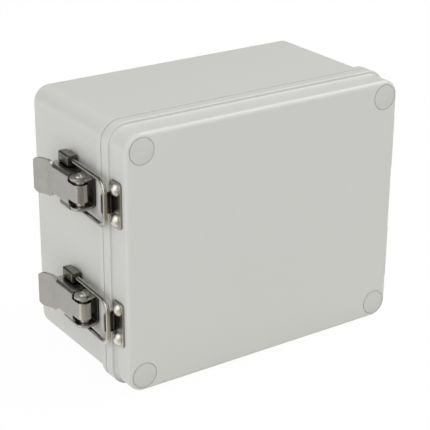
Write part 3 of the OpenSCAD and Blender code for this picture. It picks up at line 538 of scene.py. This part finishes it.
def metal_material(name, tint, painted_edge_tint, roughness, stretch, steel, reach, fineness=1.0):
    """Metal with lines along one direction: stretch scales the line noise along X, Y and Z, and
    fineness divides the spacing and depth of the lines. Edges are painted in the edge tint, and gaps
    narrower than reach get painted shade in the near black crevice colour."""
    material, tree, shader, place = new_material(name)
    shader.inputs["Metallic"].default_value = 1.0
    scale = tuple(s * fineness / steel.line for s in stretch)
    mapping = add_node(tree, "ShaderNodeMapping", {"Scale": scale})
    soft = place_group(tree, "Soft edge", {"Radius": steel.edge})
    gaps = place_group(tree, "Crevice shade", {"Reach": reach})
    lines = place_group(tree, "Brushed metal", {"Colour": rgba(tint), "Painted Edge Colour": rgba(painted_edge_tint),
                                                "Roughness": roughness})
    # Painted shade: narrow gaps are mixed towards the near black crevice colour
    shaded = mix_colours(tree, gaps.outputs["Mask"], lines.outputs["Colour"], rgba(steel.crevice))
    tree.links.new(place, mapping.inputs["Vector"])
    tree.links.new(place, lines.inputs["Vector"])
    tree.links.new(mapping.outputs["Vector"], lines.inputs["Stretched"])
    tree.links.new(soft.outputs["Mask"], lines.inputs["Edge"])
    tree.links.new(shaded, shader.inputs["Base Color"])
    tree.links.new(lines.outputs["Roughness"], shader.inputs["Roughness"])
    raise_surface(tree, shader, lines.outputs["Height"], soft.outputs["Normal"],
                  steel.line_depth / fineness)
    return material


def dress(names, material):
    """Puts a material on CAD nodes by name."""
    for name in names:
        mesh = frame["nodes"][name].data
        mesh.materials.clear()
        mesh.materials.append(material)


# Shapes


def carried_profile(path, outward, reach, depth):
    """A profile carried along a path in X and Z: each point is the path's point plus its reach times
    the outward direction there, at its depth along Y. Returns a grid with a profile in each row."""
    x = path[:, 0, None] + reach * outward[:, 0, None]
    z = path[:, 1, None] + reach * outward[:, 1, None]
    y = np.broadcast_to(depth, x.shape)
    return np.stack((x, y, z), axis=-1)


def swept_bead(centres, outward, half_widths, base, side, crown):
    """A bead along a path of centres: at profile place v from -1 to 1 the point lies v half widths
    outwards, at a depth of the base plus the side height plus the crown times 1 - v squared. The first
    and last profile points drop to the base, so that each row of the grid is one closed profile."""
    v = np.linspace(-1.0, 1.0, TOP_STEPS)
    across = np.concatenate(([-1.0], v, [1.0]))
    height = np.concatenate(([0.0], side + crown * (1.0 - v * v), [0.0]))
    return carried_profile(centres, outward, half_widths[:, None] * across, base + height)


def ring_points():
    """Angles of the points of a ring, and their outward directions: cosine and sine of each angle."""
    turn = np.linspace(0.0, 2.0 * math.pi, RING_STEPS, endpoint=False)
    return turn, np.stack((np.cos(turn), np.sin(turn)), axis=1)


def column_place():
    """X and Z of the upper right screw column: half of each spacing of the wall holes."""
    pattern = next(m for m in frame["record"]["mounts"] if m["kind"] == "bolt_pattern")["dims"]
    return np.array((pattern["spacing_x_mm"], pattern["spacing_y_mm"])) * MM / 2.0


def grid_faces(rows, columns, closed):
    """Quads between the points of a grid, numbered row times columns plus column. Its columns run
    round, and so do its rows if it is closed."""
    row = np.arange(rows if closed else rows - 1)[:, None]
    column = np.arange(columns)[None, :]
    row_next = (row + 1) % rows
    column_next = (column + 1) % columns
    quads = (row * columns + column, row_next * columns + column, row_next * columns + column_next,
             row * columns + column_next)
    return np.stack([np.broadcast_to(q, (len(row), columns)).ravel() for q in quads], axis=1)


def smooth_mesh(name, grids):
    """A smooth mesh of grids of points, with its faces turned outwards. Each grid comes with a mark
    that says whether it is closed; the end rows of an open one are faces of their own."""
    points = []
    faces = []
    count = 0
    for grid, closed in grids:
        rows, columns = grid.shape[:2]
        points.append(grid.reshape(-1, 3))
        faces.extend((grid_faces(rows, columns, closed) + count).tolist())
        if not closed:
            faces.append(list(range(count, count + columns)))
            faces.append(list(range(count + (rows - 1) * columns, count + rows * columns)))
        count += rows * columns
    mesh = bpy.data.meshes.new(name)
    mesh.from_pydata(np.concatenate(points).tolist(), [], faces)
    shape = bmesh.new()
    shape.from_mesh(mesh)
    bmesh.ops.recalc_face_normals(shape, faces=shape.faces)
    shape.to_mesh(mesh)
    shape.free()
    mesh.polygons.foreach_set("use_smooth", np.ones(len(mesh.polygons), dtype=bool))
    return mesh


def root_fillet_mesh(plastic):
    """Hollow fillet round the lid where its skirt meets the rim. Its profile is a quarter circle: at
    angle q it lies 1 - cosine q radii out of the skirt and 1 - sine q radii in front of the rim. It is
    closed by a corner just inside the plastic. Its path is the lid's outline, a rectangle with round
    corners."""
    low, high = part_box("lid_shell")
    half = np.array((high.x, high.z)) - plastic.rim_proud
    quarter = np.linspace(0.0, math.pi / 2.0, ROUND_STEPS)
    turn = np.concatenate([quarter + number * math.pi / 2.0 for number in range(len(CORNERS))])
    outward = np.stack((np.cos(turn), np.sin(turn)), axis=1)
    centres = np.repeat(CORNERS, ROUND_STEPS, axis=0) * (half - plastic.corner)
    path = centres + plastic.corner * outward
    out = np.append(plastic.root * (1.0 - np.cos(quarter)), -FILLET_LAP)
    forward = np.append(plastic.root * (1.0 - np.sin(quarter)), -FILLET_LAP)
    grid = carried_profile(path, outward, out, low.y + plastic.skirt - forward)
    mesh = smooth_mesh("Root fillet", [(grid, True)])
    mesh.set_sharp_from_angle(angle=FILLET_CREASE)
    return mesh


def groove_floor_mesh(plastic):
    """Round floors of the grooves about the four plugs. Each is a bead along a ring between plug and
    lid: its middle lies at the groove's depth, its sides a crown deeper, and its foot in the plastic."""
    low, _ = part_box("lid_shell")
    _, rim = ring_points()
    path = rim * (plastic.plug_radius + plastic.groove / 2.0)
    half_widths = np.full(RING_STEPS, plastic.groove / 2.0)
    foot = GROOVE_FOOT * plastic.groove
    base = low.y + plastic.groove_depth + foot
    side = plastic.groove_crown - foot
    column = column_place()
    floors = [swept_bead(column * corner + path, rim, half_widths, base, side, -plastic.groove_crown)
              for corner in CORNERS]
    return smooth_mesh("Groove floors", [(floor, True) for floor in floors])


def gasket_mesh(inside):
    """Gasket of four straight beads along the walls that run into a ring round each screw column. A
    ring's outer radius is as wide as the walls allow on the side of the box corner, and a gasket width
    past its bore on the other sides, with a cosine step between them."""
    low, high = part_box("lid_gasket")
    column = column_place()
    reach = np.array((high.x, high.z))
    side = high.y - low.y - inside.seal_crown
    turn, rim = ring_points()
    corner_side = np.clip((np.cos(turn - math.pi / 4.0) - WIDEN_FROM) / WIDEN_OVER, 0.0, 1.0)
    step = 0.5 - 0.5 * np.cos(math.pi * corner_side)
    narrow = inside.ring_bore + inside.seal_width
    outer = narrow + (reach[0] - column[0] - narrow) * step
    middle = column + rim * ((outer + inside.ring_bore) / 2.0)[:, None]
    ring_halves = (outer - inside.ring_bore) / 2.0
    grids = [(swept_bead(middle * corner, rim * corner, ring_halves, low.y, side, inside.seal_crown),
              True) for corner in CORNERS]
    along = np.linspace(-1.0, 1.0, STRAIGHT_STEPS)
    ends = column - inside.ring_bore / 2.0
    half = inside.seal_width / 2.0
    bead_halves = np.full(STRAIGHT_STEPS, half)
    for sign in (-1.0, 1.0):
        for axis in (0, 1):
            centres = np.empty((STRAIGHT_STEPS, 2))
            centres[:, axis] = sign * (reach[axis] - half)
            centres[:, 1 - axis] = along * ends[1 - axis]
            outward = np.zeros_like(centres)
            outward[:, axis] = sign
            bead = swept_bead(centres, outward, bead_halves, low.y, side, inside.seal_crown)
            grids.append((bead, False))
    return smooth_mesh("Gasket bead", grids)


def new_object(name, mesh, material):
    """An object of a mesh and a material, at the origin."""
    mesh.materials.append(material)
    item = bpy.data.objects.new(name, mesh)
    bpy.context.scene.collection.objects.link(item)
    return item


# Pieces


class TERMINALBOX_OT_shells(Operator):
    """Finish the moulded base, lid and corner plugs"""
    bl_idname = "terminal_box.shells"
    bl_label = "Shells and plugs"

    def execute(self, context):
        plastic = context.scene.terminal_box.plastic
        for names, label, tint in ((SHELLS, "Satin grey plastic", plastic.shell),
                                   (PLUGS, "Plug plastic", plastic.plug)):
            dress(names, plastic_material(label, tint, plastic.roughness, plastic.grain,
                                          plastic.grain_depth, plastic.edge))
        return {"FINISHED"}


class TERMINALBOX_OT_levers(Operator):
    """Finish the two latch levers, brushed along their length"""
    bl_idname = "terminal_box.levers"
    bl_label = "Levers"

    def execute(self, context):
        steel = context.scene.terminal_box.steel
        # The lever edges are painted dark as shade and dark reflection
        dress(LEVERS, metal_material("Brushed lever sheet", steel.sheet, steel.painted_edge_shade,
                                     steel.roughness, LEVER_BRUSH, steel, steel.crevice_shade_reach))
        return {"FINISHED"}


class TERMINALBOX_OT_latch_sheets(Operator):
    """Finish the pressed brackets of the latches and their keepers, painted darker as shade"""
    bl_idname = "terminal_box.latch_sheets"
    bl_label = "Brackets and keepers"

    def execute(self, context):
        steel = context.scene.terminal_box.steel
        # The bracket edges are painted dark as shade and dark reflection
        dress(BRACKETS, metal_material("Pressed bracket sheet", steel.sheet, steel.painted_edge_shade,
                                       steel.roughness, PRESSED_BRUSH, steel, steel.crevice_shade_reach))
        # The keepers are a darker copy of the sheet with a wider gap reach: painted shade; their edges
        # keep the sheet colour
        dress(KEEPERS, metal_material("Keeper sheet with painted shade", steel.keeper, steel.sheet,
                                      steel.roughness, PRESSED_BRUSH, steel, steel.keeper_shade_reach))
        return {"FINISHED"}


class TERMINALBOX_OT_bails(Operator):
    """Finish the wire bails and their folded sleeves, painted darker as shade"""
    bl_idname = "terminal_box.bails"
    bl_label = "Bails and sleeves"

    def execute(self, context):
        steel = context.scene.terminal_box.steel
        dress(LATCH_WIRES, metal_material("Drawn wire", steel.bright, steel.bright,
                                          steel.wire_roughness, WIRE_BRUSH, steel,
                                          steel.crevice_shade_reach))
        # The sleeves are a darker copy of the sheet: painted shade; their edges keep the sheet colour
        dress(LATCH_SLEEVES, metal_material("Sleeve sheet with painted shade", steel.folded, steel.sheet,
                                            steel.roughness, SLEEVE_BRUSH, steel,
                                            steel.crevice_shade_reach))
        return {"FINISHED"}


class TERMINALBOX_OT_pins(Operator):
    """Finish pins and rivets, turned, in a lighter colour that paints light on them"""
    bl_idname = "terminal_box.pins"
    bl_label = "Pins and rivets"

    def execute(self, context):
        steel = context.scene.terminal_box.steel
        # A lighter copy of the steel that paints light on pins and rivets
        dress(TURNED_STEEL, metal_material("Turned steel with painted light", steel.turned, steel.turned,
                                           steel.turned_roughness, TURNED_BRUSH, steel,
                                           steel.head_shade_reach, TURNED_FINENESS))
        return {"FINISHED"}


class TERMINALBOX_OT_hinges(Operator):
    """Finish the hinge leaves, brushed along the hinge line"""
    bl_idname = "terminal_box.hinges"
    bl_label = "Hinge leaves"

    def execute(self, context):
        steel = context.scene.terminal_box.steel
        # The hinge edges are painted dark as shade and dark reflection
        dress(HINGE_LEAVES, metal_material("Brushed hinge sheet", steel.sheet, steel.painted_edge_shade,
                                           steel.roughness, HINGE_BRUSH, steel,
                                           steel.crevice_shade_reach))
        return {"FINISHED"}


class TERMINALBOX_OT_plated(Operator):
    """Finish the plated plate, rail and screws inside"""
    bl_idname = "terminal_box.plated"
    bl_label = "Plate, rail and screws"

    def execute(self, context):
        steel = context.scene.terminal_box.steel
        zinc = context.scene.terminal_box.inside.zinc
        dress(ZINC_PIECES, metal_material("Zinc plated steel", zinc, zinc, steel.roughness, ZINC_BRUSH,
                                          steel, steel.head_shade_reach))
        return {"FINISHED"}


class TERMINALBOX_OT_brass(Operator):
    """Finish the brass inserts and clamps"""
    bl_idname = "terminal_box.brass"
    bl_label = "Inserts and clamps"

    def execute(self, context):
        steel = context.scene.terminal_box.steel
        brass = context.scene.terminal_box.inside.brass
        dress(BRASS_PIECES, metal_material("Turned brass", brass, brass, steel.wire_roughness,
                                           BRASS_BRUSH, steel, steel.head_shade_reach))
        return {"FINISHED"}


class TERMINALBOX_OT_lid_rounds(Operator):
    """Round the corner between the lid's skirt and its rim, and the grooves about the plugs"""
    bl_idname = "terminal_box.lid_rounds"
    bl_label = "Fillet and grooves of the lid"

    def execute(self, context):
        plastic = context.scene.terminal_box.plastic
        # These forms are round already, so their edges aren't softened
        finish = plastic_material("Rounded plastic", plastic.shell, plastic.roughness, plastic.grain,
                                  plastic.grain_depth, edge=0.0)
        for name, mesh in (("lid_root_fillet", root_fillet_mesh(plastic)),
                           ("plug_groove_floors", groove_floor_mesh(plastic))):
            piece = new_object(name, mesh, finish)
            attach(piece, "lid")
        return {"FINISHED"}


class TERMINALBOX_OT_gasket(Operator):
    """Lay the round-topped gasket in the lid, in place of its plain solid"""
    bl_idname = "terminal_box.gasket"
    bl_label = "Gasket"

    def execute(self, context):
        inside = context.scene.terminal_box.inside
        plastic = context.scene.terminal_box.plastic
        finish = plastic_material("Foamed gasket rubber", inside.rubber, inside.rubber_roughness,
                                  inside.foam, inside.foam_depth, plastic.edge)
        gasket = new_object("gasket_bead", gasket_mesh(inside), finish)
        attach(gasket, "lid")
        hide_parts("lid_gasket")
        return {"FINISHED"}


class TERMINALBOX_OT_terminals(Operator):
    """Finish the terminal housings, end plate, end stops and earth terminal"""
    bl_idname = "terminal_box.terminals"
    bl_label = "Terminals"

    def execute(self, context):
        inside = context.scene.terminal_box.inside
        plastic = context.scene.terminal_box.plastic
        dress(TERMINALS, plastic_material("Terminal plastic", inside.terminal, plastic.roughness,
                                          plastic.grain, plastic.grain_depth, plastic.edge))
        dress(("earth_terminal",), earth_material("Earth terminal plastic", inside, plastic))
        return {"FINISHED"}


# Stage


def seen_directly(tree):
    """1 for camera, glossy and transmission rays, 0 for the rays that light the object."""
    path = add_node(tree, "ShaderNodeLightPath")
    mirrored = math_node(tree, "MAXIMUM", path.outputs["Is Camera Ray"],
                         path.outputs["Is Glossy Ray"])
    return math_node(tree, "MAXIMUM", mirrored, path.outputs["Is Transmission Ray"])


def mix_shaders(tree, mask, first, second):
    """A mix of two shader nodes by a mask socket. Returns the node."""
    both = add_node(tree, "ShaderNodeMixShader")
    for slot, socket in enumerate((mask, first.outputs[0], second.outputs[0])):
        tree.links.new(socket, both.inputs[slot])
    return both


def floor_material(studio):
    """Pale matt floor that looks almost white, keeps a soft shadow and is clear from below."""
    material, tree, surface = empty_material("Pale floor")
    matt = add_node(tree, "ShaderNodeBsdfDiffuse", {"Color": rgba(studio.floor)})
    white = add_node(tree, "ShaderNodeEmission", {"Color": WHITE, "Strength": 1.0})
    clear = add_node(tree, "ShaderNodeBsdfTransparent")
    face = add_node(tree, "ShaderNodeNewGeometry")
    whiteness = math_node(tree, "MULTIPLY", seen_directly(tree), studio.backdrop)
    top = mix_shaders(tree, whiteness, matt, white)
    both = mix_shaders(tree, face.outputs["Backfacing"], top, clear)
    tree.links.new(both.outputs[0], surface)
    return material


def white_world(ambient):
    """A world that is white where it is seen, and gives an even light to everything else."""
    world = bpy.data.worlds.new("White studio")
    world.use_nodes = True
    tree = world.node_tree
    tree.nodes.clear()
    output = add_node(tree, "ShaderNodeOutputWorld")
    even = add_node(tree, "ShaderNodeBackground", {"Color": WHITE, "Strength": ambient})
    seen = add_node(tree, "ShaderNodeBackground", {"Color": WHITE, "Strength": 1.0})
    both = mix_shaders(tree, seen_directly(tree), even, seen)
    tree.links.new(both.outputs[0], output.inputs["Surface"])
    return world


def softbox(name, place, aim, width, watts):
    """A square area lamp at a place, turned to an aim."""
    lamp = bpy.data.lights.new(name, "AREA")
    lamp.shape = "SQUARE"
    lamp.size = width
    lamp.energy = watts
    holder = bpy.data.objects.new(name, lamp)
    holder.location = place
    holder.rotation_mode = "QUATERNION"
    holder.rotation_quaternion = (Vector(aim) - Vector(place)).to_track_quat("-Z", "Y")
    bpy.context.scene.collection.objects.link(holder)


def studio_card(name, corners, faces, tint):
    """A card that only reflections see: metal shows it, and the camera and the light pass it by."""
    material, tree, surface = empty_material(name)
    glow = add_node(tree, "ShaderNodeEmission", {"Color": rgba(tint), "Strength": 1.0})
    tree.links.new(glow.outputs[0], surface)
    mesh = bpy.data.meshes.new(name)
    mesh.from_pydata(corners, [], faces)
    card = new_object(name, mesh, material)
    card.visible_camera = False
    card.visible_diffuse = False
    card.visible_transmission = False
    card.visible_shadow = False


def flat_card(name, outline, height, tint):
    """A level card with an outline of X and Y places."""
    studio_card(name, [(x, y, height) for x, y in outline], [tuple(range(len(outline)))], tint)


def floor_cards(studio, low):
    """Three cards just over the floor: grey beside the latches, warm round the front corner, and
    darker in front of that. Low is the lowest corner of the object's box."""
    height = low.z + CARD_LIFT
    grey = ((GREY_LEFT, GREY_FRONT), (low.x, GREY_FRONT), (low.x, GREY_BACK), (GREY_LEFT, GREY_BACK))
    near = ((CARDS_LEFT, NEAR_FRONT), (CARDS_RIGHT, NEAR_FRONT), (CARDS_RIGHT, low.y), (low.x, low.y),
            (low.x, NEAR_BACK), (CARDS_LEFT, NEAR_BACK))
    front = ((CARDS_LEFT, FAR_FRONT), (CARDS_RIGHT, FAR_FRONT), (CARDS_RIGHT, NEAR_FRONT),
             (CARDS_LEFT, NEAR_FRONT))
    flat_card("Grey card", grey, height, studio.card)
    flat_card("Near card", near, height, studio.near_card)
    flat_card("Front card", front, height, studio.front_card)


def square(reach):
    """X and Y of the corners of a square about the origin."""
    return ((-reach, -reach), (reach, -reach), (reach, reach), (-reach, reach))


def dim_room(reach, foot, tint):
    """Four walls and a ceiling round the studio, a reach from its middle."""
    corners = [(x, y, z) for z in (foot, reach) for x, y in square(reach)]
    walls = [(i, (i + 1) % 4, (i + 1) % 4 + 4, i + 4) for i in range(4)]
    studio_card("Dim room", corners, walls + [(4, 5, 6, 7)], tint)


def photo_camera(studio):
    """Camera from its place and three angles: the line of sight is turned by the azimuth and dipped
    by the elevation, then the picture is rolled about it."""
    sin_a, cos_a = math.sin(studio.azimuth), math.cos(studio.azimuth)
    sin_e, cos_e = math.sin(studio.elevation), math.cos(studio.elevation)
    sight = Vector((sin_a * cos_e, cos_a * cos_e, -sin_e))
    level = Vector((cos_a, -sin_a, 0.0))
    upright = Vector((sin_a * sin_e, cos_a * sin_e, cos_e))
    right = math.cos(studio.roll) * level + math.sin(studio.roll) * upright
    up = math.cos(studio.roll) * upright - math.sin(studio.roll) * level
    lens = bpy.data.cameras.new("Photo camera")
    lens.lens = studio.lens
    lens.sensor_width = SENSOR_WIDTH
    lens.clip_start = CLIP_START
    camera = bpy.data.objects.new("Photo camera", lens)
    turn = Matrix((right, up, -sight)).transposed().to_4x4()
    camera.matrix_world = Matrix.Translation(studio.eye) @ turn
    bpy.context.scene.collection.objects.link(camera)
    bpy.context.scene.camera = camera


class TERMINALBOX_OT_stage(Operator):
    """Set up the floor, the soft light and the camera"""
    bl_idname = "terminal_box.stage"
    bl_label = "Floor, light and camera"

    def execute(self, context):
        scene = context.scene
        studio = scene.terminal_box.studio
        low, high = CAD_BOX
        middle = (low + high) / 2.0
        floor_mesh = bpy.data.meshes.new("Floor")
        corners = [(x, y, low.z) for x, y in square(studio.floor_reach)]
        floor_mesh.from_pydata(corners, [], [(0, 1, 2, 3)])
        floor = new_object("Floor", floor_mesh, floor_material(studio))
        scene.world = white_world(studio.ambient)
        dim_room(studio.room_reach, low.z, studio.room)
        floor_cards(studio, low)
        softbox("Top softbox", studio.top_place, middle, studio.top_width, studio.top_power)
        softbox("Key softbox", studio.key_place, middle, studio.key_width, studio.key_power)
        softbox("Side softbox", studio.side_place, middle, studio.side_width, studio.side_power)
        photo_camera(studio)
        scene.view_settings.view_transform = "Standard"
        return {"FINISHED"}


# Panel and registration


PIECE_OPERATORS = (TERMINALBOX_OT_shells, TERMINALBOX_OT_levers, TERMINALBOX_OT_latch_sheets,
                   TERMINALBOX_OT_bails, TERMINALBOX_OT_pins, TERMINALBOX_OT_hinges,
                   TERMINALBOX_OT_plated, TERMINALBOX_OT_brass, TERMINALBOX_OT_lid_rounds,
                   TERMINALBOX_OT_gasket, TERMINALBOX_OT_terminals, TERMINALBOX_OT_stage)


class TERMINALBOX_PT_sidebar(Panel):
    """Lists the pieces of the terminal box"""
    bl_idname = "TERMINALBOX_PT_sidebar"
    bl_label = "Terminal Box"
    bl_space_type = "VIEW_3D"
    bl_region_type = "UI"
    bl_category = "Terminal Box"

    def draw(self, context):
        for operator in PIECE_OPERATORS:
            self.layout.operator(operator.bl_idname)


CLASSES = (TERMINALBOX_PG_plastic, TERMINALBOX_PG_steel, TERMINALBOX_PG_inside,
           TERMINALBOX_PG_studio, TERMINALBOX_PG_settings, *PIECE_OPERATORS, TERMINALBOX_PT_sidebar)


def register():
    for item in CLASSES:
        bpy.utils.register_class(item)
    bpy.types.Scene.terminal_box = PointerProperty(type=TERMINALBOX_PG_settings)


def unregister():
    del bpy.types.Scene.terminal_box
    for item in reversed(CLASSES):
        bpy.utils.unregister_class(item)


def main():
    """Registers the add-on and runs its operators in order."""
    register()
    for operator in PIECE_OPERATORS:
        family, action = operator.bl_idname.split(".")
        result = getattr(getattr(bpy.ops, family), action)()
        if result != {"FINISHED"}:
            raise RuntimeError(f"{operator.bl_label} didn't finish")


if __name__ == "__main__":
    main()
